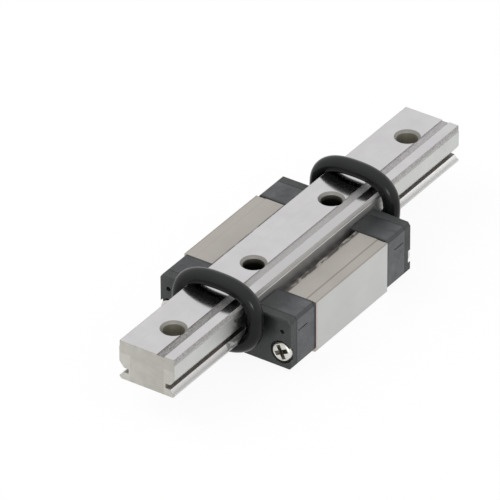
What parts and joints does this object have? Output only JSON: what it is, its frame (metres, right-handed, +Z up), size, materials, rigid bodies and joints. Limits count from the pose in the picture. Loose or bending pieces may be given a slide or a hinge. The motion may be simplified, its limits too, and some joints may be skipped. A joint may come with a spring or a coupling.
{
  "type": "miniature linear guide",
  "caption": "Miniature linear guide: a recirculating ball block with black end caps on a narrow steel rail, with rubber stop rings on the rail either side of it.",
  "frame": {"origin": "centre of the block's mounting face, which the guide lies on", "axes": "+X along the rail towards its longer free end (rear), +Y across the rail to its left side, +Z up, out of the rail's mounting face"},
  "size_m": [0.055, 0.017, 0.0103],
  "materials": {
    "rail_steel": "ground, satin",
    "block_steel": "ground, warm satin",
    "cap_plastic": "moulded, fine matte",
    "seal_rubber": "moulded, matte",
    "guide_plastic": "moulded",
    "wire_steel": "drawn wire",
    "ball_steel": "polished",
    "screw_nickel": "nickel plated",
    "ring_rubber": "smooth, slightly glossy"
  },
  "bodies": {
    "rail_assembly": {"rail": "rail_steel"},
    "block": {"block_body": "block_steel", "end_cap_front": "cap_plastic", "end_cap_rear": "cap_plastic", "end_seal_front": "seal_rubber", "end_seal_rear": "seal_rubber", "return_guide_front_left": "guide_plastic", "return_guide_front_right": "guide_plastic", "return_guide_rear_left": "guide_plastic", "return_guide_rear_right": "guide_plastic", "ball_retainer_left": "wire_steel", "ball_retainer_right": "wire_steel", "balls_left": "ball_steel", "balls_right": "ball_steel", "cap_screw_front_left": "screw_nickel", "cap_screw_front_right": "screw_nickel", "cap_screw_rear_left": "screw_nickel", "cap_screw_rear_right": "screw_nickel"},
    "front_ring": {"stop_ring_front": "ring_rubber"},
    "rear_ring": {"stop_ring_rear": "ring_rubber"}
  },
  "joints": [
    {"name": "block_slide", "type": "slide", "parent": "rail_assembly", "child": "block", "axis": [1, 0, 0], "range_m": [-0.0088, 0.0112]},
    {"name": "front_ring_slide", "type": "slide", "parent": "block", "child": "front_ring", "axis": [-1, 0, 0], "range_m": [0, 0.003]},
    {"name": "rear_ring_slide", "type": "slide", "parent": "block", "child": "rear_ring", "axis": [1, 0, 0], "range_m": [0, 0.003]}
  ]
}
